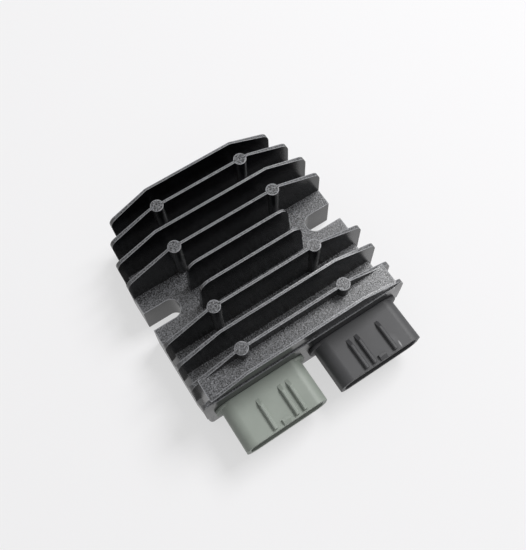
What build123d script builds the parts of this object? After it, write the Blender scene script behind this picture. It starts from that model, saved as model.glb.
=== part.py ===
from build123d import *
import os
from math import atan2, degrees, radians, sqrt, tan

# Voltage regulator rectifier: a finned die-cast housing that is open underneath, two moulded
# sockets on its front wall, and the power electronics that are potted in resin inside it.
# Millimetres. X runs along the fins, Y from the sockets to the back, Z up from the mounting face.

# Casting, seen from above
sink_length = 90.0
front_inset = 1.0
front_corner_length = 9.0
front_corner_radius = 1.6
back_reach = 43.2
front_reach = 42.5
back_corner_radius = 48.0
back_corner_start = 16.0
small_corner_radius = 2.5

# Casting, seen from the side
sink_height = 36.5
base_height = 16.0
edge_height = 10.5
edge_inset = 2.4
side_draft = 2.0
roof_thickness = 3.5
wall_thickness = 3.6
cavity_corner_radius = 2.5

# Fins, in pairs about the middle plane
short_fin_offset = 4.65
slot_fin_pitch = 9.55
end_fin_pitch = 8.55
back_fin_inset = 1.85
front_fin_inset = 1.15
fin_land = 1.05
fin_foot = 2.6
fin_end_inset = 0.4
fin_bend_half = 25.0
second_fin_bend_half = 22.4
back_fin_bend_half = 19.2
fin_end_slope = 24.0
back_fin_end_slope = 26.0
fin_tip_radius = 4.8
short_fin_top_half = 22.2
short_fin_foot_half = 23.8

# Round posts that stand in the fins
post_radius = 2.6
back_post_half = 18.9
post_half = 22.0

# Raised pad between the last two fins, and the tall front wall under it
pad_height = 30.5
pad_top_inset = 4.2
lip_height = 28.0
lip_depth = 0.6
chamber_margin = 0.3
chamber_length = 4.2
chamber_height = 27.0
front_wall = 2.8

# Mounting slots, open at the two ends
slot_width = 8.0
slot_centre_offset = 1.2
slot_round_inset = 10.5
slot_wall = 3.6
ear_length = 23.5
ear_top_inset = 0.6

# Sockets
socket_half_gap = 3.5
grey_socket_width = 35.4
black_socket_width = 36.6
socket_height = 14.0
socket_bottom = 6.0
socket_reach = 19.1
socket_corner_radius = 5.0
socket_wall = 1.8
socket_floor = 2.6
flange_margin = 2.0
flange_drop = 0.6
flange_thickness = 1.2
plug_inset = 1.2
plug_clearance = 0.1
plug_inner_length = 1.2
rib_width = 1.6
rib_rise = 1.5
rib_start = 5.3
rib_ramp = 2.8
rib_end_gap = 0.8
rib_edge_chamfer = 0.4
latch_length = 2.5
latch_rise = 1.1
latch_lead = 0.3
grey_rib_places = (-25.7, -16.2, -12.8)
grey_latch_place = -20.8
grey_latch_width = 3.1
black_rib_places = (15.0, 18.6, 28.3)
black_latch_place = 22.5
black_latch_width = 3.1

# Terminal blades
blade_width = 7.8
blade_thickness = 0.8
blade_pitch = 10.3
blade_recess = 5.6
blade_tip_chamfer = 1.0
leg_width = 4.0
leg_solder_reach = 1.0
leg_inner_gap = 2.3

# Resin fill, circuit board and the parts on it
resin_recess = 0.6
board_thickness = 1.6
board_head_gap = 0.3
board_gap = 0.5
board_corner_chamfer = 1.2
pad_thickness = 0.3
pad_margin = 1.4
switch_pitch = 11.0
switch_width = 10.0
switch_body_length = 9.2
switch_thickness = 4.4
tab_length = 6.3
tab_thickness = 1.3
lead_pitch = 2.54
lead_width = 0.8
lead_thickness = 0.5
lead_reach = 2.6
lead_solder_reach = 1.2
clamp_thickness = 1.5
clamp_width = 8.0
clamp_end_margin = 4.0
screw_radius = 1.45
screw_hole_radius = 1.5
screw_hole_top = 20.0
screw_tip_gap = 0.6
screw_head_radius = 2.75
screw_head_height = 1.8
capacitor_radius = 3.9
capacitor_top_gap = 0.4
capacitor_wall_gap = 2.9
capacitor_spacing = 16.4
chip_length = 9.9
chip_width = 3.9
chip_thickness = 1.5
chip_spacing = 18.0
chip_leg_gap = 5.05
resistor_length = 3.2
resistor_width = 1.6
resistor_thickness = 0.6
resistor_row_offset = 2.0
diode_length = 4.3
diode_width = 2.6
diode_thickness = 2.3
diode_pitch = 5.5
diode_column = 33.5
diode_row_offset = 21.5

# Places that follow from the sizes above
middle_y = (front_reach + socket_reach - back_reach) / 2
front_y = middle_y - front_reach
rim_y = front_y - socket_reach
back_y = middle_y + back_reach
slot_y = middle_y + slot_centre_offset
inner_wall_y = front_y + front_wall
half_length = sink_length / 2
front_half = half_length - front_inset
pad_top_half = half_length - pad_top_inset
ear_top_half = half_length - ear_top_inset
slot_round_centre = half_length - slot_round_inset
slot_inner = slot_round_centre - slot_width / 2 - slot_wall
clamp_row = short_fin_offset + slot_fin_pitch
roof_height = base_height - roof_thickness
switch_top = roof_height - pad_thickness
switch_bottom = switch_top - switch_thickness
clamp_bottom = switch_bottom - clamp_thickness
board_top = clamp_bottom - screw_head_height - board_head_gap
board_bottom = board_top - board_thickness
leg_end_height = board_bottom - leg_solder_reach
lead_end_height = board_bottom - lead_solder_reach
capacitor_height = switch_top - tab_thickness - capacitor_top_gap - board_top
capacitor_y = back_y - wall_thickness - capacitor_wall_gap - capacitor_radius
chamber_half = socket_half_gap + max(grey_socket_width, black_socket_width) - plug_inset + chamber_margin
grey_middle = -socket_half_gap - grey_socket_width / 2
black_middle = socket_half_gap + black_socket_width / 2
socket_top = socket_bottom + socket_height
blade_height = socket_bottom + socket_height / 2
leg_y = inner_wall_y + leg_inner_gap
chip_y = leg_y + blade_thickness / 2 + chip_leg_gap + chip_width / 2


def outline_half(offset_y):
    """Half length of the casting's lower edge, at a distance from the middle plane."""
    past_start = max(0.0, offset_y - back_corner_start)
    return half_length - back_corner_radius + sqrt(back_corner_radius**2 - past_start**2)


def corner_places(half, row):
    """The two mirrored places on one row of posts or screws."""
    return [(-half, middle_y + row), (half, middle_y + row)]


def fin_row(reach, end_inset):
    """Offsets of the five fins on one side of the middle plane, the last one near that side's edge."""
    end_offset = reach - end_inset
    even_pitch = (end_offset - end_fin_pitch - clamp_row) / 2
    return [short_fin_offset, clamp_row, clamp_row + even_pitch, end_offset - end_fin_pitch, end_offset]


back_fins = fin_row(back_reach, back_fin_inset)
front_fins = [-fin_offset for fin_offset in fin_row(front_reach, front_fin_inset)]
post_places = (
    corner_places(back_post_half, back_fins[3])
    + corner_places(post_half, back_fins[1])
    + corner_places(post_half, front_fins[1])
    + corner_places(post_half, front_fins[3])
)
clamp_places = corner_places(post_half, clamp_row) + corner_places(post_half, -clamp_row)

# Outline of the casting: slightly narrower at the front, back corners on a large arc
with BuildSketch() as base_outline:
    with BuildLine():
        back_half = outline_half(back_reach)
        front_side_y = front_y + front_corner_length
        arc_y = middle_y + back_corner_start
        Line((-front_half, front_y), (front_half, front_y))
        Line((front_half, front_y), (half_length, front_side_y))
        Line((half_length, front_side_y), (half_length, arc_y))
        RadiusArc((half_length, arc_y), (back_half, back_y), -back_corner_radius)
        Line((back_half, back_y), (-back_half, back_y))
        RadiusArc((-back_half, back_y), (-half_length, arc_y), -back_corner_radius)
        Line((-half_length, arc_y), (-half_length, front_side_y))
        Line((-half_length, front_side_y), (-front_half, front_y))
    make_face()
    fillet(base_outline.vertices().group_by(Axis.Y)[-1], small_corner_radius)
    fillet(base_outline.vertices().group_by(Axis.Y)[0], front_corner_radius)

# Outline of the cavity, which steps in beside the mounting slots
with BuildSketch() as cavity_outline:
    add(base_outline.sketch)
    offset(amount=-wall_thickness, kind=Kind.INTERSECTION, mode=Mode.REPLACE)
    for end in (1, -1):
        with Locations((end * (slot_inner + half_length) / 2, slot_y)):
            Rectangle(half_length - slot_inner, slot_width + 2 * slot_wall, mode=Mode.SUBTRACT)
    with BuildSketch(mode=Mode.PRIVATE) as board_outline:
        add(cavity_outline.sketch)
        offset(amount=-board_gap, kind=Kind.INTERSECTION, mode=Mode.REPLACE)
        chamfer(board_outline.vertices(), board_corner_chamfer)
    fillet(cavity_outline.vertices(), cavity_corner_radius)

# Outline of the chamber behind the front wall, where the terminals come through
with BuildSketch() as chamber_outline:
    with Locations((0, inner_wall_y + chamber_length / 2)):
        Rectangle(chamber_half * 2, chamber_length)


def make_fin(fin_offset, half_profile):
    """A drafted fin: its section along Y, cut to a side profile whose tips are rounded."""
    root_height = half_profile[0][1]
    foot_growth = (fin_foot - fin_land) / (sink_height - base_height)
    root_half = (fin_foot + foot_growth * (base_height - root_height)) / 2
    other_half = [(-x, z) for x, z in reversed(half_profile)]
    with BuildPart() as fin:
        with BuildSketch(Plane.YZ):
            with BuildLine():
                Polyline(
                    (middle_y + fin_offset - root_half, root_height),
                    (middle_y + fin_offset + root_half, root_height),
                    (middle_y + fin_offset + fin_land / 2, sink_height),
                    (middle_y + fin_offset - fin_land / 2, sink_height),
                    close=True,
                )
            make_face()
        extrude(amount=half_length, both=True)
        with BuildSketch(Plane.XZ.offset(-middle_y - fin_offset)) as profile:
            with BuildLine():
                Polyline(*half_profile, *other_half, close=True)
            make_face()
            fillet(profile.vertices().group_by(Axis.Y)[1], fin_tip_radius)
        extrude(amount=fin_foot * 2, both=True, mode=Mode.INTERSECT)
    return fin.part


def short_fin(fin_offset):
    """A fin between the mounting slots, a little shorter at its top than at its foot."""
    return make_fin(fin_offset, [(short_fin_foot_half, base_height), (short_fin_top_half, sink_height)])


def long_fin(fin_offset, bend_half, end_slope):
    """A fin that slopes down from its bend to a tip above the casting's edge."""
    end_half = outline_half(fin_offset) - fin_end_inset
    tip_height = sink_height - (end_half - bend_half) * tan(radians(end_slope))
    return make_fin(fin_offset, [(end_half, edge_height), (end_half, tip_height), (bend_half, sink_height)])


with BuildPart() as heat_sink:
    # Lower slab with drafted sides, and above it a floor whose edges slope in
    add(base_outline.sketch)
    extrude(amount=edge_height, taper=side_draft)
    slab_top = heat_sink.faces().sort_by(Axis.Z)[-1]
    slope_angle = degrees(atan2(edge_inset, base_height - edge_height))
    extrude(slab_top, amount=base_height - edge_height, taper=slope_angle)

    # Thick ears around the mounting slots
    with BuildSketch(Plane.XZ.offset(-slot_y + ear_length / 2)):
        with BuildLine():
            Polyline(
                (-half_length, 0),
                (half_length, 0),
                (ear_top_half, base_height),
                (-ear_top_half, base_height),
                close=True,
            )
        make_face()
    extrude(amount=-ear_length)

    # Tall front wall and raised pad
    pad_length = front_reach + front_fins[3]
    with BuildSketch(Plane.XZ.offset(-front_y)):
        with BuildLine():
            Polyline(
                (-front_half, 0),
                (front_half, 0),
                (pad_top_half, pad_height),
                (-pad_top_half, pad_height),
                close=True,
            )
        make_face()
    extrude(amount=-pad_length)
    front_edges = heat_sink.edges().filter_by_position(Axis.Y, front_y, front_y)
    fillet(front_edges.filter_by(Axis.X, reverse=True), front_corner_radius)

    # Fins on both sides of the middle plane; the two rearmost ones have shorter tops
    for fin_offset in (back_fins[0], front_fins[0]):
        add(short_fin(fin_offset))
    for fin_offset in (*back_fins[1:3], *front_fins[1:]):
        add(long_fin(fin_offset, fin_bend_half, fin_end_slope))
    add(long_fin(back_fins[3], second_fin_bend_half, fin_end_slope))
    add(long_fin(back_fins[4], back_fin_bend_half, back_fin_end_slope))

    # The front wall is one flat face behind the sockets, and steps back to a ledge above them
    split(bisect_by=Plane.XZ.offset(-front_y), keep=Keep.BOTTOM)
    with BuildSketch(Plane.XZ.offset(-front_y)):
        with Locations((0, (lip_height + sink_height) / 2)):
            Rectangle(sink_length, sink_height - lip_height)
    extrude(amount=-lip_depth, mode=Mode.SUBTRACT)

    # Round posts, level with the fins' tops
    with BuildSketch(Plane.XY.offset(roof_height)):
        with Locations(*post_places):
            Circle(post_radius)
    extrude(amount=sink_height - roof_height)

    # Mounting slots, open at the ends
    with BuildSketch():
        for end in (1, -1):
            with Locations((end * slot_round_centre, slot_y)):
                Circle(slot_width / 2)
            with Locations((end * (slot_round_centre + half_length) / 2, slot_y)):
                Rectangle(half_length - slot_round_centre, slot_width)
    extrude(amount=base_height, mode=Mode.SUBTRACT)

    # Cavity from below, and the chamber behind the front wall
    add(cavity_outline.sketch)
    extrude(amount=roof_height, mode=Mode.SUBTRACT)
    add(chamber_outline.sketch)
    extrude(amount=chamber_height, mode=Mode.SUBTRACT)

    # Blind holes for the clamp screws, in the posts
    with BuildSketch(Plane.XY.offset(roof_height)):
        with Locations(*clamp_places):
            Circle(screw_hole_radius)
    extrude(amount=screw_hole_top - roof_height, mode=Mode.SUBTRACT)

    # Windows in the front wall for the plugs of the two sockets
    with BuildSketch(Plane.XZ.offset(-front_y)):
        for place, width in ((grey_middle, grey_socket_width), (black_middle, black_socket_width)):
            with Locations((place, blade_height)):
                RectangleRounded(
                    width - 2 * plug_inset, socket_height - 2 * plug_inset, socket_corner_radius - plug_inset
                )
    extrude(amount=-front_wall, mode=Mode.SUBTRACT)


def make_terminal(x):
    """A flat blade that runs back into the casting and bends down into the board."""
    with BuildPart() as terminal:
        with BuildSketch(Plane.XY.offset(blade_height - blade_thickness / 2)) as blade:
            with Locations((x, (rim_y + blade_recess + leg_y) / 2)):
                Rectangle(blade_width, leg_y - rim_y - blade_recess + blade_thickness)
            chamfer(blade.vertices().group_by(Axis.Y)[0], blade_tip_chamfer)
        extrude(amount=blade_thickness)
        with BuildSketch(Plane.XZ.offset(-leg_y + blade_thickness / 2)):
            with Locations((x, (leg_end_height + blade_height) / 2)):
                Rectangle(leg_width, blade_height - leg_end_height)
        extrude(amount=-blade_thickness)
    return terminal.part


def make_socket(middle_x, socket_width, rib_places, latch_place, latch_width):
    """A moulded socket: hood, flange, the plug that fills the window, ribs and a latch wedge."""
    plug_side_inset = plug_inset + plug_clearance
    with BuildPart() as socket:
        with BuildSketch(Plane.XZ.offset(-front_y)):
            with Locations((middle_x, blade_height)):
                RectangleRounded(socket_width, socket_height, socket_corner_radius)
        extrude(amount=socket_reach)
        with BuildSketch(Plane.XZ.offset(-front_y)):
            with Locations((middle_x, blade_height)):
                RectangleRounded(
                    socket_width + 2 * flange_margin, socket_height - 2 * flange_drop, socket_corner_radius
                )
        extrude(amount=flange_thickness)
        with BuildSketch(Plane.XZ.offset(-front_y)):
            with Locations((middle_x, blade_height)):
                RectangleRounded(
                    socket_width - 2 * plug_side_inset,
                    socket_height - 2 * plug_side_inset,
                    socket_corner_radius - plug_side_inset,
                )
        extrude(amount=-front_wall - plug_inner_length)
        with BuildSketch(Plane.XZ.offset(-front_y + socket_floor)):
            with Locations((middle_x, blade_height)):
                RectangleRounded(
                    socket_width - 2 * socket_wall,
                    socket_height - 2 * socket_wall,
                    socket_corner_radius - socket_wall,
                )
        extrude(amount=socket_reach - socket_floor, mode=Mode.SUBTRACT)

        # Raised ribs on the top wall, each with a ramp at its inner end
        for place in rib_places:
            with BuildSketch(Plane.YZ.offset(place - rib_width / 2)):
                with BuildLine():
                    Polyline(
                        (front_y - rib_start, socket_top - socket_wall / 2),
                        (front_y - rib_start, socket_top),
                        (front_y - rib_start - rib_ramp, socket_top + rib_rise),
                        (rim_y + rib_end_gap, socket_top + rib_rise),
                        (rim_y + rib_end_gap, socket_top - socket_wall / 2),
                        close=True,
                    )
                make_face()
            extrude(amount=rib_width)
        rib_top = socket_top + rib_rise
        rib_edges = socket.edges().filter_by(Axis.Y).filter_by_position(Axis.Z, rib_top, rib_top)
        chamfer(rib_edges, rib_edge_chamfer)

        # Latch wedge at the rim, with its catch face towards the casting
        with BuildSketch(Plane.YZ.offset(latch_place - latch_width / 2)):
            with BuildLine():
                Polyline(
                    (rim_y + latch_length, socket_top - socket_wall / 2),
                    (rim_y + latch_length, socket_top + latch_rise),
                    (rim_y + latch_length - latch_rise, socket_top + latch_rise),
                    (rim_y, socket_top + latch_lead),
                    (rim_y, socket_top - socket_wall / 2),
                    close=True,
                )
            make_face()
        extrude(amount=latch_width)

        # Slots that hold the three terminals
        for place in (-blade_pitch, 0, blade_pitch):
            add(make_terminal(middle_x + place), mode=Mode.SUBTRACT)
    return socket.part


terminals = {}
for colour, middle_x in (("grey", grey_middle), ("black", black_middle)):
    for number in (1, 2, 3):
        with BuildPart() as terminal:
            add(make_terminal(middle_x + (number - 2) * blade_pitch))
        terminals[f"{colour}_terminal_{number}"] = terminal

with BuildPart() as grey_socket:
    add(make_socket(grey_middle, grey_socket_width, grey_rib_places, grey_latch_place, grey_latch_width))

with BuildPart() as black_socket:
    add(make_socket(black_middle, black_socket_width, black_rib_places, black_latch_place, black_latch_width))


def make_switch(x, side):
    """A power switch: moulded body, metal tab against the roof, and three bent leads."""
    with BuildPart() as switch:
        body_middle = middle_y + side * clamp_row
        tab_middle = body_middle + side * (switch_body_length + tab_length) / 2
        with Locations((x, body_middle, (switch_bottom + switch_top) / 2)):
            Box(switch_width, switch_body_length, switch_thickness)
        with Locations((x, tab_middle, switch_top - tab_thickness / 2)):
            Box(switch_width, tab_length, tab_thickness)
        lead_start = body_middle - side * switch_body_length / 2
        lead_height = (switch_bottom + switch_top) / 2
        with BuildSketch(Plane.YZ.offset(x - lead_width / 2)) as lead:
            with BuildLine():
                Polyline(
                    (lead_start, lead_height),
                    (lead_start - side * lead_reach, lead_height),
                    (lead_start - side * lead_reach, lead_end_height),
                    (lead_start - side * (lead_reach - lead_thickness), lead_end_height),
                    (lead_start - side * (lead_reach - lead_thickness), lead_height - lead_thickness),
                    (lead_start, lead_height - lead_thickness),
                    close=True,
                )
            make_face()
        for step in (-lead_pitch, 0, lead_pitch):
            extrude(lead.sketch.moved(Location((step, 0, 0))), amount=lead_width)
    return switch.part


switches = {}
for side in (-1, 1):
    for column in (-1, 0, 1):
        with BuildPart() as switch:
            add(make_switch(column * switch_pitch, side))
        switches[f"power_switch_{len(switches) + 1}"] = switch


def make_insulating_pad(side):
    """The soft pad between one row of switches and the casting's roof."""
    length = switch_body_length + tab_length + pad_margin
    pad_middle = middle_y + side * (clamp_row + tab_length / 2)
    with BuildPart() as pad:
        with Locations((0, pad_middle, roof_height - pad_thickness / 2)):
            Box(2 * switch_pitch + switch_width + pad_margin, length, pad_thickness)
    return pad.part


def make_clamp_bar(side):
    """A steel bar that presses one row of switches against the roof."""
    with BuildPart() as bar:
        with BuildSketch(Plane.XY.offset(clamp_bottom)):
            with Locations((0, middle_y + side * clamp_row)):
                Rectangle(2 * (post_half + clamp_end_margin), clamp_width)
            with Locations(*corner_places(post_half, side * clamp_row)):
                Circle(screw_hole_radius, mode=Mode.SUBTRACT)
        extrude(amount=clamp_thickness)
    return bar.part


with BuildPart() as insulating_pad_front:
    add(make_insulating_pad(-1))

with BuildPart() as insulating_pad_back:
    add(make_insulating_pad(1))

with BuildPart() as clamp_bar_front:
    add(make_clamp_bar(-1))

with BuildPart() as clamp_bar_back:
    add(make_clamp_bar(1))

# Four screws whose hexagon heads press the bars upwards
with BuildPart() as clamp_screws:
    with BuildSketch(Plane.XY.offset(clamp_bottom - screw_head_height)):
        with Locations(*clamp_places):
            RegularPolygon(screw_head_radius, 6)
    extrude(amount=screw_head_height)
    with BuildSketch(Plane.XY.offset(clamp_bottom)):
        with Locations(*clamp_places):
            Circle(screw_radius)
    extrude(amount=screw_hole_top - screw_tip_gap - clamp_bottom)

# Circuit board, with holes in which the leads and terminals are soldered
with BuildPart() as circuit_board:
    with BuildSketch(Plane.XY.offset(board_bottom)):
        add(board_outline.sketch)
    extrude(amount=board_thickness)
    for piece in [*terminals.values(), *switches.values()]:
        add(piece.part, mode=Mode.SUBTRACT)

with BuildPart() as control_chip:
    with Locations((chip_spacing / 2, chip_y, board_top + chip_thickness / 2)):
        Box(chip_length, chip_width, chip_thickness)

with BuildPart() as driver_chip:
    with Locations((-chip_spacing / 2, chip_y, board_top + chip_thickness / 2)):
        Box(chip_length, chip_width, chip_thickness)


def make_capacitor(x):
    """A storage capacitor in a can, standing on the board."""
    with BuildPart() as capacitor:
        with BuildSketch(Plane.XY.offset(board_top)):
            with Locations((x, capacitor_y)):
                Circle(capacitor_radius)
        extrude(amount=capacitor_height)
    return capacitor.part


with BuildPart() as capacitor_left:
    add(make_capacitor(-capacitor_spacing / 2))

with BuildPart() as capacitor_right:
    add(make_capacitor(capacitor_spacing / 2))

with BuildPart() as gate_resistors:
    for side in (-1, 1):
        with Locations((0, middle_y + side * resistor_row_offset, board_top + resistor_thickness / 2)):
            with GridLocations(switch_pitch, 1, 3, 1):
                Box(resistor_length, resistor_width, resistor_thickness)

with BuildPart() as diodes:
    for column in (-diode_column, diode_column):
        with Locations((column, middle_y + diode_row_offset, board_top + diode_thickness / 2)):
            with GridLocations(1, diode_pitch, 1, 3):
                Box(diode_length, diode_width, diode_thickness)

inner_pieces = [
    *(grey_socket, black_socket, *terminals.values()),
    *(circuit_board, *switches.values()),
    *(insulating_pad_front, insulating_pad_back, clamp_bar_front, clamp_bar_back, clamp_screws),
    *(control_chip, driver_chip, capacitor_left, capacitor_right, gate_resistors, diodes),
]

# Resin that fills the cavity around everything on the board; the screws' holes stay free
with BuildPart() as potting_compound:
    with BuildSketch(Plane.XY.offset(resin_recess)):
        add(cavity_outline.sketch)
    extrude(amount=roof_height - resin_recess)
    with BuildSketch(Plane.XY.offset(resin_recess)):
        add(chamber_outline.sketch)
    extrude(amount=chamber_height - resin_recess)
    add(heat_sink.part, mode=Mode.SUBTRACT)
    for piece in inner_pieces:
        add(piece.part, mode=Mode.SUBTRACT)
    with BuildSketch(Plane.XY.offset(clamp_bottom)):
        with Locations(*clamp_places):
            Circle(screw_hole_radius)
    extrude(amount=roof_height - clamp_bottom, mode=Mode.SUBTRACT)

os.makedirs("parts", exist_ok=True)

heat_sink.part.label = "heat_sink"
export_step(heat_sink.part, "parts/heat_sink.step")

grey_socket.part.label = "grey_socket"
export_step(grey_socket.part, "parts/grey_socket.step")

black_socket.part.label = "black_socket"
export_step(black_socket.part, "parts/black_socket.step")

for name, piece in [*terminals.items(), *switches.items()]:
    piece.part.label = name
    export_step(piece.part, f"parts/{name}.step")

circuit_board.part.label = "circuit_board"
export_step(circuit_board.part, "parts/circuit_board.step")

insulating_pad_front.part.label = "insulating_pad_front"
export_step(insulating_pad_front.part, "parts/insulating_pad_front.step")

insulating_pad_back.part.label = "insulating_pad_back"
export_step(insulating_pad_back.part, "parts/insulating_pad_back.step")

clamp_bar_front.part.label = "clamp_bar_front"
export_step(clamp_bar_front.part, "parts/clamp_bar_front.step")

clamp_bar_back.part.label = "clamp_bar_back"
export_step(clamp_bar_back.part, "parts/clamp_bar_back.step")

clamp_screws.part.label = "clamp_screws"
export_step(clamp_screws.part, "parts/clamp_screws.step")

control_chip.part.label = "control_chip"
export_step(control_chip.part, "parts/control_chip.step")

driver_chip.part.label = "driver_chip"
export_step(driver_chip.part, "parts/driver_chip.step")

capacitor_left.part.label = "capacitor_left"
export_step(capacitor_left.part, "parts/capacitor_left.step")

capacitor_right.part.label = "capacitor_right"
export_step(capacitor_right.part, "parts/capacitor_right.step")

gate_resistors.part.label = "gate_resistors"
export_step(gate_resistors.part, "parts/gate_resistors.step")

diodes.part.label = "diodes"
export_step(diodes.part, "parts/diodes.step")

potting_compound.part.label = "potting_compound"
export_step(potting_compound.part, "parts/potting_compound.step")
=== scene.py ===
import math

import bpy
import numpy as np
from mathutils import Matrix, Vector


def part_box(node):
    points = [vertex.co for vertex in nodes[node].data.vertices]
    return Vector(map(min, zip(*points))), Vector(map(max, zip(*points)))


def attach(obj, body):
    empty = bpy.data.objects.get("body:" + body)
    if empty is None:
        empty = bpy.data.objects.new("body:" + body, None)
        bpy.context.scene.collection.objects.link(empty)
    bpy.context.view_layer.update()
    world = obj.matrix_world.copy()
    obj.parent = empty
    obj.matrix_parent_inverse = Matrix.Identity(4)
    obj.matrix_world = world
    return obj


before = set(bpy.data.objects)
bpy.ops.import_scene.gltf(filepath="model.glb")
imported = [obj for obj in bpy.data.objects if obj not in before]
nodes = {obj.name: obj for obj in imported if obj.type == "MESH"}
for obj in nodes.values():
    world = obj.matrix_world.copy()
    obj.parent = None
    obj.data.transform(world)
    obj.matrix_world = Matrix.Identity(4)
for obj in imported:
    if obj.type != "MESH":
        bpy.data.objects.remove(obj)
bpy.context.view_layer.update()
mm = 0.001
sinkLow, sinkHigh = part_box("heat_sink")  # metres
print("frame loaded with", len(nodes), "nodes")


def linearColour(hexCode):
    # sRGB to linear light: below 0.04045 a channel is divided by 12.92, above it the channel plus
    # 0.055 is divided by 1.055 and raised to 2.4
    channels = np.array([int(hexCode[i : i + 2], 16) for i in (1, 3, 5)]) / 255
    linear = np.where(channels < 0.04045, channels / 12.92, ((channels + 0.055) / 1.055) ** 2.4)
    return (*linear.tolist(), 1.0)


def addNode(tree, kind, settings=None, links=None, stops=()):
    # settings are the node's own properties or the values of its sockets, links are their sources,
    # and stops are a colour ramp's places from 0 to 1, each with its sRGB hex
    node = tree.nodes.new(kind)
    for name, value in (settings or {}).items():
        if isinstance(name, str) and hasattr(node, name):
            setattr(node, name, value)
        else:
            node.inputs[name].default_value = value
    for name, source in (links or {}).items():
        tree.links.new(source, node.inputs[name])
    for index, (position, hexCode) in enumerate(stops):
        node.color_ramp.elements[index].position = position
        node.color_ramp.elements[index].color = linearColour(hexCode)
    return node


def newMaterial(name, shaderSettings):
    # an empty material with its shader and output, and Object coordinates to draw patterns on
    material = bpy.data.materials.new(name)
    material.use_nodes = True
    tree = material.node_tree
    tree.nodes.clear()
    shader = addNode(tree, "ShaderNodeBsdfPrincipled", shaderSettings)
    addNode(tree, "ShaderNodeOutputMaterial", links={"Surface": shader.outputs["BSDF"]})
    place = addNode(tree, "ShaderNodeTexCoord").outputs["Object"]
    return material, tree, shader, place


def perMetre(size):
    # a texture's scale from the real size of one grain, in millimetres
    return 1 / (size * mm)


def seenRays(tree):
    # 1 for what the camera sees, directly or in a mirror or through glass, and 0 for light itself
    path = addNode(tree, "ShaderNodeLightPath").outputs
    larger = {"operation": "MAXIMUM"}
    seen = addNode(tree, "ShaderNodeMath", larger, {0: path["Is Camera Ray"], 1: path["Is Glossy Ray"]})
    through = {0: seen.outputs[0], 1: path["Is Transmission Ray"]}
    return addNode(tree, "ShaderNodeMath", larger, through).outputs[0]


# Die-cast aluminium, shot-blasted and then coated black: satin, with a sparkling grain where it
# faces up, smoother and darker on the drafted sides of the fins; where it faces up its colour is painted
# paler as a painted sheen of the overhead light, and thin rims carry a painted highlight
castingLook = {
    "coat": ((0.3, "#030405"), (0.7, "#0d0f12")),  # along the mottling
    "mottling": 6.0,  # mm
    "grainAndSheen": ((0.42, "#0d0e0f"), (0.67, "#86878b")),  # from the grain's hollows to its tips: real grain, painted paler as a painted sheen and painted glints of the light
    "grain": 0.55,  # mm, coarser than the real 0.2 mm so that it shows
    "grainHeight": 0.09,  # mm
    "sideGrain": 0.15,  # share of the grain's height left on the drafted sides
    "grainTurn": (0.6, 0.45, 0.3),  # radians
    "upwardLimits": (0.5, 0.85),  # of the normal's height, from side to top
    # painted highlight along the thin rims, where the edges catch the overhead light
    "rim": "#9e9fa3",
    "rimWidth": 0.7,  # mm
    "rimLimits": (0.9, 0.5),  # of the openness inwards, from thick to thin
    "rimShare": 0.8,
    "topRoughness": 0.27,
    "sideRoughness": 0.24,
    "shine": 0.58,
}


def coatedCasting(look):
    material, tree, shader, place = newMaterial(
        "coatedDieCastAluminium", {"Specular IOR Level": look["shine"]}
    )
    normal = addNode(tree, "ShaderNodeNewGeometry").outputs["Normal"]
    height = addNode(tree, "ShaderNodeSeparateXYZ", links={0: normal}).outputs["Z"]
    sideLimit, topLimit = look["upwardLimits"]
    upward = addNode(
        tree, "ShaderNodeMapRange", {"From Min": sideLimit, "From Max": topLimit}, {"Value": height}
    ).outputs["Result"]
    # turned, so that no flat face lies along the noise's own planes, where it is faint
    turned = addNode(
        tree, "ShaderNodeMapping", {"Rotation": look["grainTurn"]}, {"Vector": place}
    ).outputs["Vector"]
    grain = addNode(
        tree,
        "ShaderNodeTexNoise",
        {"Scale": perMetre(look["grain"]), "Detail": 4.0, "Roughness": 0.75},
        {"Vector": turned},
    ).outputs["Fac"]
    mottle = addNode(
        tree,
        "ShaderNodeTexNoise",
        {"Scale": perMetre(look["mottling"]), "Detail": 2.0},
        {"Vector": turned},
    ).outputs["Fac"]
    coat = addNode(tree, "ShaderNodeValToRGB", links={"Fac": mottle}, stops=look["coat"])
    # the grain shows only where the casting faces up, and there its colour is painted paler, a painted
    # sheen of the overhead light with painted glints on the grain's tips
    grainAndSheen = addNode(tree, "ShaderNodeValToRGB", links={"Fac": grain}, stops=look["grainAndSheen"])
    grainAndTopSheen = addNode(
        tree,
        "ShaderNodeMix",
        {"data_type": "RGBA"},
        {"A": coat.outputs["Color"], "B": grainAndSheen.outputs["Color"], "Factor": upward},
    )
    # the metal is thin where rays sent inwards soon come out again: there, where it faces up, a painted
    # highlight makes the rims paler
    inwards = addNode(
        tree,
        "ShaderNodeAmbientOcclusion",
        {"inside": True, "only_local": True, "samples": 8, "Distance": look["rimWidth"] * mm},
    ).outputs["AO"]
    thickLimit, thinLimit = look["rimLimits"]
    thin = addNode(
        tree,
        "ShaderNodeMapRange",
        {"From Min": thickLimit, "From Max": thinLimit, "To Max": look["rimShare"]},
        {"Value": inwards},
    ).outputs["Result"]
    paintedRimHighlight = addNode(tree, "ShaderNodeMath", {"operation": "MULTIPLY"}, {0: thin, 1: upward})
    colour = addNode(
        tree,
        "ShaderNodeMix",
        {"data_type": "RGBA", "B": linearColour(look["rim"])},
        {"A": grainAndTopSheen.outputs["Result"], "Factor": paintedRimHighlight.outputs[0]},
    )
    tree.links.new(colour.outputs["Result"], shader.inputs["Base Color"])
    rough = addNode(
        tree,
        "ShaderNodeMapRange",
        {"To Min": look["sideRoughness"], "To Max": look["topRoughness"]},
        {"Value": upward},
    )
    tree.links.new(rough.outputs["Result"], shader.inputs["Roughness"])
    strength = addNode(tree, "ShaderNodeMapRange", {"To Min": look["sideGrain"]}, {"Value": upward})
    bump = addNode(
        tree,
        "ShaderNodeBump",
        {"Distance": look["grainHeight"] * mm},
        {"Height": grain, "Strength": strength.outputs["Result"]},
    )
    tree.links.new(bump.outputs["Normal"], shader.inputs["Normal"])
    return material


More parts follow.
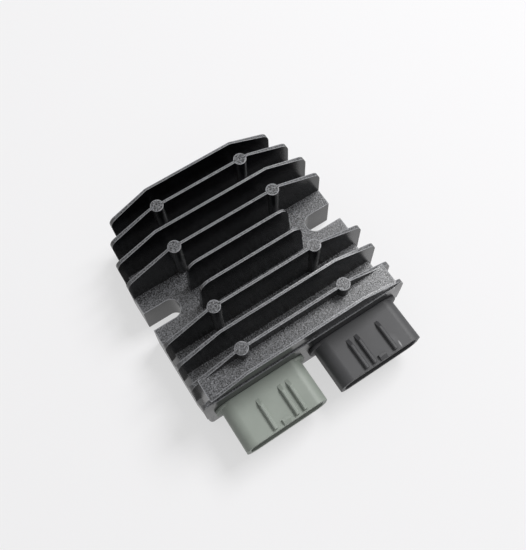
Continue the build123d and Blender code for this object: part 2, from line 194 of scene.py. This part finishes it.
def rubbedSpot(tree, place, mark, colour):
    # an ellipse that fades outwards, broken up by the grain of the plastic
    centred = addNode(
        tree,
        "ShaderNodeMapping",
        {
            "vector_type": "TEXTURE",
            "Location": [c * mm for c in mark["place"]],
            "Rotation": (0.0, 0.0, math.radians(mark["turn"])),
            "Scale": [s * mm for s in mark["size"]],
        },
        {"Vector": place},
    ).outputs["Vector"]
    fade = addNode(tree, "ShaderNodeTexGradient", {"gradient_type": "SPHERICAL"}, {"Vector": centred})
    scratches = addNode(
        tree, "ShaderNodeTexNoise", {"Scale": perMetre(mark["grain"]), "Detail": 3.0}, {"Vector": place}
    )
    strength = addNode(
        tree,
        "ShaderNodeMath",
        {"operation": "MULTIPLY"},
        {0: fade.outputs["Fac"], 1: scratches.outputs["Fac"]},
    )
    outer, inner = mark["limits"]
    shown = addNode(
        tree,
        "ShaderNodeMapRange",
        {"From Min": outer, "From Max": inner, "To Max": mark["strength"]},
        {"Value": strength.outputs[0]},
    )
    return addNode(
        tree,
        "ShaderNodeMix",
        {"data_type": "RGBA", "B": linearColour(mark["colour"])},
        {"A": colour, "Factor": shown.outputs["Result"]},
    ).outputs["Result"]


def mouldedPlastic(name, look):
    # injection-moulded or cast plastic: an even skin with a faint flow mottling
    material, tree, shader, place = newMaterial(
        name, {"Roughness": look["roughness"], "Specular IOR Level": look.get("shine", 0.5)}
    )
    mottle = addNode(
        tree, "ShaderNodeTexNoise", {"Scale": perMetre(look["mottling"]), "Detail": 4.0}, {"Vector": place}
    )
    stops = ((0.3, look["dark"]), (0.7, look["light"]))
    ramp = addNode(tree, "ShaderNodeValToRGB", links={"Fac": mottle.outputs["Fac"]}, stops=stops)
    colour = ramp.outputs["Color"]
    for mark in look.get("marks", []):
        colour = rubbedSpot(tree, place, mark, colour)
    tree.links.new(colour, shader.inputs["Base Color"])
    texture = addNode(
        tree, "ShaderNodeTexNoise", {"Scale": perMetre(look["texture"]), "Detail": 2.0}, {"Vector": place}
    )
    bump = addNode(
        tree,
        "ShaderNodeBump",
        {"Distance": look["textureHeight"] * mm, "Strength": 0.6},
        {"Height": texture.outputs["Fac"]},
    )
    tree.links.new(bump.outputs["Normal"], shader.inputs["Normal"])
    return material


def drawnMetal(name, look):
    # plated or bare sheet metal: bright, with fine streaks along y that scatter the highlight
    material, tree, shader, place = newMaterial(name, {"Metallic": 1.0, "Roughness": look["roughness"]})
    stretched = addNode(tree, "ShaderNodeMapping", {"Scale": (1.0, 0.08, 1.0)}, {"Vector": place})
    streaks = addNode(
        tree,
        "ShaderNodeTexNoise",
        {"Scale": perMetre(look["streak"]), "Detail": 3.0},
        {"Vector": stretched.outputs["Vector"]},
    ).outputs["Fac"]
    stops = ((0.3, look["dark"]), (0.7, look["light"]))
    ramp = addNode(tree, "ShaderNodeValToRGB", links={"Fac": streaks}, stops=stops)
    tree.links.new(ramp.outputs["Color"], shader.inputs["Base Color"])
    bump = addNode(
        tree,
        "ShaderNodeBump",
        {"Distance": look["streakHeight"] * mm, "Strength": 0.4},
        {"Height": streaks},
    )
    tree.links.new(bump.outputs["Normal"], shader.inputs["Normal"])
    return material


# rubbed spots on the black socket's top: a short scratch near the rim and a paler patch beside it;
# places, sizes and grain in mm, turns in degrees, limits from the spot's edge to its full strength
socketMarks = [
    {
        "place": (30.9, -50.6, 20.0),
        "size": (0.45, 1.9, 1.0),
        "turn": -4.0,
        "colour": "#a5a5a6",
        "strength": 0.9,
        "grain": 0.4,
        "limits": (0.05, 0.35),
    },
    {
        "place": (29.6, -47.6, 20.0),
        "size": (2.6, 3.2, 1.0),
        "turn": 20.0,
        "colour": "#5d5d5f",
        "strength": 0.45,
        "grain": 0.4,
        "limits": (0.05, 0.35),
    },
]

# mottling, texture and its height in mm; the moulds' own texture of about 0.1 mm is drawn coarser,
# so that it shows
plasticLooks = {
    # glass-filled nylon, moulded: satin, a grey with a little green
    "greyNylon": {
        "dark": "#919890",
        "light": "#99a098",
        "roughness": 0.5,
        "mottling": 9.0,
        "texture": 0.5,
        "textureHeight": 0.02,
    },
    # the same nylon dyed black: satin, a soft charcoal under light
    "blackNylon": {
        "dark": "#39393b",
        "light": "#414143",
        "roughness": 0.56,
        "shine": 0.6,
        "mottling": 9.0,
        "texture": 0.5,
        "textureHeight": 0.02,
        "marks": socketMarks,
    },
    # poured epoxy or polyurethane, set in the open: glossy, nearly black, slightly wavy
    "pottingResin": {
        "dark": "#1b1c1e",
        "light": "#232427",
        "roughness": 0.2,
        "mottling": 14.0,
        "texture": 3.0,
        "textureHeight": 0.1,
    },
    # transfer-moulded epoxy of chips and switches: dull black
    "mouldedEpoxy": {
        "dark": "#18181a",
        "light": "#202022",
        "roughness": 0.6,
        "mottling": 2.0,
        "texture": 0.3,
        "textureHeight": 0.02,
    },
    # glass cloth in epoxy under green lacquer: smooth, with the weave just felt
    "glassEpoxyBoard": {
        "dark": "#1c4a2c",
        "light": "#235934",
        "roughness": 0.35,
        "mottling": 3.0,
        "texture": 0.6,
        "textureHeight": 0.02,
    },
    # filled silicone rubber, rolled: dull blue-grey
    "siliconePad": {
        "dark": "#7f8c99",
        "light": "#8a97a4",
        "roughness": 0.7,
        "mottling": 3.0,
        "texture": 0.4,
        "textureHeight": 0.03,
    },
}

# streaks and their height in mm, wider apart than the rolling lines of the real metal, to show
metalLooks = {
    # brass blades under hot-dipped tin: soft silver with a warm cast
    "tinnedBrass": {
        "dark": "#b9b6ac",
        "light": "#d2cfc6",
        "roughness": 0.28,
        "streak": 0.5,
        "streakHeight": 0.01,
    },
    # steel screws and bars, zinc-plated: cool bright grey
    "zincPlatedSteel": {
        "dark": "#a3a6aa",
        "light": "#bcc0c4",
        "roughness": 0.33,
        "streak": 0.5,
        "streakHeight": 0.01,
    },
    # drawn aluminium cans of the capacitors: pale satin
    "aluminiumCan": {
        "dark": "#b4b7ba",
        "light": "#c6c9cc",
        "roughness": 0.3,
        "streak": 0.6,
        "streakHeight": 0.01,
    },
}
finishes = {name: mouldedPlastic(name, look) for name, look in plasticLooks.items()}
finishes.update({name: drawnMetal(name, look) for name, look in metalLooks.items()})
finishes["coatedCasting"] = coatedCasting(castingLook)

# which finish each kind of node has, by the beginning of its name
nodeFinishes = {
    "heat_sink": "coatedCasting",
    "grey_socket": "greyNylon",
    "black_socket": "blackNylon",
    "grey_terminal": "tinnedBrass",
    "black_terminal": "tinnedBrass",
    "circuit_board": "glassEpoxyBoard",
    "power_switch": "mouldedEpoxy",
    "insulating_pad": "siliconePad",
    "clamp": "zincPlatedSteel",
    "control_chip": "mouldedEpoxy",
    "driver_chip": "mouldedEpoxy",
    "capacitor": "aluminiumCan",
    "gate_resistors": "mouldedEpoxy",
    "diodes": "mouldedEpoxy",
    "potting_compound": "pottingResin",
}
for nodeName, node in nodes.items():
    finish = next(f for start, f in nodeFinishes.items() if nodeName.startswith(start))
    node.data.materials.clear()
    node.data.materials.append(finishes[finish])
print("materials set on the nodes")

# edges of the casting and of the two visible mouldings are softened, as tools leave them
softEdges = {
    "widths": {"heat_sink": 0.3, "grey_socket": 0.25, "black_socket": 0.25},  # mm
    "sharpest": 28,  # degrees, below which an edge stays as it is
    "segments": 2,
    "weld": 0.002,  # mm
}
for nodeName, width in softEdges["widths"].items():
    node = nodes[nodeName]
    weld = node.modifiers.new("weld", "WELD")
    weld.merge_threshold = softEdges["weld"] * mm
    bevel = node.modifiers.new("softEdges", "BEVEL")
    bevel.width = width * mm
    bevel.segments = softEdges["segments"]
    bevel.limit_method = "ANGLE"
    bevel.angle_limit = math.radians(softEdges["sharpest"])
    node.modifiers.new("evenNormals", "WEIGHTED_NORMAL")
print("edges softened")


def gridFaces(rows, columns):
    # quads between neighbouring points of a grid whose points are numbered row by row
    corner = (np.arange(rows - 1)[:, None] * columns + np.arange(columns - 1)).ravel()
    return np.stack([corner, corner + 1, corner + columns + 1, corner + columns], 1)


def newPiece(name, points, faces, finish):
    mesh = bpy.data.meshes.new(name)
    mesh.from_pydata(points.tolist(), [], faces.tolist())
    mesh.shade_smooth()
    piece = bpy.data.objects.new(name, mesh)
    bpy.context.scene.collection.objects.link(piece)
    mesh.materials.append(finishes[finish])
    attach(piece, "root")
    return piece


resinSkin = {
    "rows": 300,
    "columns": 300,
    "height": 0.42,  # mm above the mounting face
    "wall": 3.6,  # mm
    "frontWall": 2.8,  # mm
    "slotBehindFront": 43.7,  # mm
    "hiddenEdge": 1.5,  # mm that the skin runs on inside the walls
    "backRadius": 48.0,  # mm
    "backStart": 25.2,  # mm, where the sides begin to curve in
    "frontTaper": (9.0, 1.0),  # mm long, mm deep
    "roomHalf": 7.6,  # mm, half of the walled room around each mounting slot
    "roomInner": 26.9,  # mm
    "climb": 0.3,  # mm that the resin climbs up its walls
    "reach": 1.1,  # mm
    "ripple": 0.03,  # mm
    "rippleAlongX": (7.3, 1.1, 11.9),  # mm, bend, mm
    "rippleAlongY": (8.7, 0.9, 9.4),  # mm, bend, mm
    "seed": 11,
    "bubbles": 22,
    "bubbleHalf": 36,  # mm to each side
    "bubbleMargin": 4,  # mm from the front and back walls
    "bubbleDepth": 0.12,  # mm
    "bubbleSize": 0.5,  # mm
    "bubbleSpread": (0.6, 1.5),  # times the size
}


def resinPoints(look):
    # For u from -1 to 1 across and v from 0 to 1 along: y runs evenly from the front wall to the
    # back one, and x is u times the cavity's half width at y, which is the casting's half width
    # less its wall. The height is level, less a climb that fades with the distance d from the
    # nearest wall as exp(-d / reach), plus two crossed ripples, each the sine of one coordinate
    # over its length plus a bend times the sine of the other over its own, and a small
    # bell-shaped dent for every bubble.
    frontWallY = sinkLow[1] / mm
    backWallY = sinkHigh[1] / mm
    slotY = frontWallY + look["slotBehindFront"]
    halfLength = sinkHigh[0] / mm
    hidden = look["hiddenEdge"]
    v, u = np.meshgrid(
        np.linspace(0, 1, look["rows"]), np.linspace(-1, 1, look["columns"]), indexing="ij"
    )
    front = frontWallY + look["frontWall"]
    back = backWallY - look["wall"]
    y = front - hidden + v * (back - front + 2 * hidden)
    past = np.clip(y - look["backStart"], 0, None)
    taperLength, taperDepth = look["frontTaper"]
    outer = halfLength - look["backRadius"] + np.sqrt(look["backRadius"] ** 2 - past**2)
    outer = outer - taperDepth * np.clip((frontWallY + taperLength - y) / taperLength, 0, 1)
    cavityHalf = outer - look["wall"]
    x = u * (cavityHalf + hidden)
    across = np.abs(x)
    along = np.abs(y - slotY)
    toOuter = np.minimum(np.minimum(cavityHalf - across, y - front), back - y)
    roomX = np.clip(look["roomInner"] - across, 0, None)
    roomY = np.clip(along - look["roomHalf"], 0, None)
    distance = np.clip(np.minimum(toOuter, np.hypot(roomX, roomY)), 0, None)
    z = look["height"] - look["climb"] * np.exp(-distance / look["reach"])
    lengthX, bendX, crossX = look["rippleAlongX"]
    lengthY, bendY, crossY = look["rippleAlongY"]
    rippleX = np.sin(x / lengthX + bendX * np.sin(y / crossX))
    rippleY = np.sin(y / lengthY + bendY * np.sin(x / crossY))
    z = z + look["ripple"] * (rippleX + rippleY)
    random = np.random.default_rng(look["seed"])
    margin = look["bubbleMargin"]
    bubbleX = random.uniform(-look["bubbleHalf"], look["bubbleHalf"], look["bubbles"])
    bubbleY = random.uniform(front + margin, back - margin, look["bubbles"])
    size = look["bubbleSize"] * random.uniform(*look["bubbleSpread"], look["bubbles"])
    gap = np.hypot(x[..., None] - bubbleX, y[..., None] - bubbleY)
    z = z + (look["bubbleDepth"] * np.exp(-((gap / size) ** 2))).sum(-1)
    return np.stack([x, y, z], -1).reshape(-1, 3) * mm


def besideSlots(points, faces, look):
    # true for each face whose middle lies in the walled room around a mounting slot
    middle = points[faces].mean(1) / mm
    along = np.abs(middle[:, 1] - sinkLow[1] / mm - look["slotBehindFront"])
    across = np.abs(middle[:, 0])
    hidden = look["hiddenEdge"]
    return (along < look["roomHalf"] - hidden) & (across > look["roomInner"] + hidden)


# quads are turned so that the skin faces down, out of the open cavity, and those beside the
# slots are left out with their points
resinGrid = resinPoints(resinSkin)
resinFaces = gridFaces(resinSkin["rows"], resinSkin["columns"])[:, ::-1]
resinFaces = resinFaces[~besideSlots(resinGrid, resinFaces, resinSkin)]
usedPoints, keptFaces = np.unique(resinFaces, return_inverse=True)
newPiece("resinSkin", resinGrid[usedPoints], keptFaces.reshape(-1, 4), "pottingResin")
print("resin skin made")

# pale paper floor: it glows a little in the camera's eye only, so that its shadows stay pale
floorLook = {
    "size": 6.0,  # metres
    "below": 0.02,  # mm under the mounting face
    "colour": "#99989a",
    "roughness": 0.8,
    "glow": 0.585,
}
bpy.ops.mesh.primitive_plane_add(size=floorLook["size"], location=(0, 0, -floorLook["below"] * mm))
floor = bpy.context.object
floor.name = "floor"
floorMaterial, floorTree, floorShader, _ = newMaterial(
    "palePaperFloor",
    {
        "Base Color": linearColour(floorLook["colour"]),
        "Roughness": floorLook["roughness"],
        "Emission Color": (1, 1, 1, 1),
    },
)
glow = addNode(
    floorTree,
    "ShaderNodeMath",
    {"operation": "MULTIPLY", 1: floorLook["glow"]},
    {0: seenRays(floorTree)},
)
floorTree.links.new(glow.outputs[0], floorShader.inputs["Emission Strength"])
floor.data.materials.append(floorMaterial)

lamps = {  # metres
    "keySoftbox": {"place": (0.65, 0.13, 0.87), "size": 0.45, "watts": 9.2},
    "fillSoftbox": {"place": (-0.9, -0.7, 0.9), "size": 1.2, "watts": 0.5},
}
for name, lamp in lamps.items():
    light = bpy.data.lights.new(name, "AREA")
    light.shape = "SQUARE"
    light.size = lamp["size"]
    light.energy = lamp["watts"]
    lampObject = bpy.data.objects.new(name, light)
    lampObject.location = lamp["place"]
    lampObject.rotation_euler = (-Vector(lamp["place"])).to_track_quat("-Z", "Y").to_euler()
    bpy.context.scene.collection.objects.link(lampObject)

worldLook = {"light": 0.33, "seen": 0.82}  # strength as a light and as seen, where 1 is white
world = bpy.data.worlds.new("studio")
world.use_nodes = True
bpy.context.scene.world = world
worldTree = world.node_tree
worldTree.nodes.clear()
worldStrength = addNode(
    worldTree,
    "ShaderNodeMapRange",
    {"To Min": worldLook["light"], "To Max": worldLook["seen"]},
    {"Value": seenRays(worldTree)},
).outputs["Result"]
background = addNode(
    worldTree, "ShaderNodeBackground", {"Color": (1, 1, 1, 1)}, {"Strength": worldStrength}
)
addNode(worldTree, "ShaderNodeOutputWorld", links={"Surface": background.outputs["Background"]})

photoView = {
    "place": (-46.5, -80.4, 256.6),  # mm
    "forward": (0.1937, 0.3196, -0.9275),
    "up": (0.5112, 0.7741, 0.3735),
    "focalLength": 646.9,  # pixels
    "longSide": 550,  # pixels
    "nearest": 0.01,  # metres
}
forward = Vector(photoView["forward"]).normalized()
right = forward.cross(Vector(photoView["up"])).normalized()
up = right.cross(forward)
cameraData = bpy.data.cameras.new("photoCamera")
cameraData.sensor_width = 36.0
cameraData.lens = photoView["focalLength"] / photoView["longSide"] * cameraData.sensor_width
cameraData.clip_start = photoView["nearest"]
cameraObject = bpy.data.objects.new("photoCamera", cameraData)
turn = Matrix((right, up, -forward)).transposed().to_4x4()
cameraObject.matrix_world = Matrix.Translation(Vector(photoView["place"]) * mm) @ turn
bpy.context.scene.collection.objects.link(cameraObject)
bpy.context.scene.camera = cameraObject
bpy.context.scene.view_settings.view_transform = "Standard"
print("stage, lamps and camera ready")
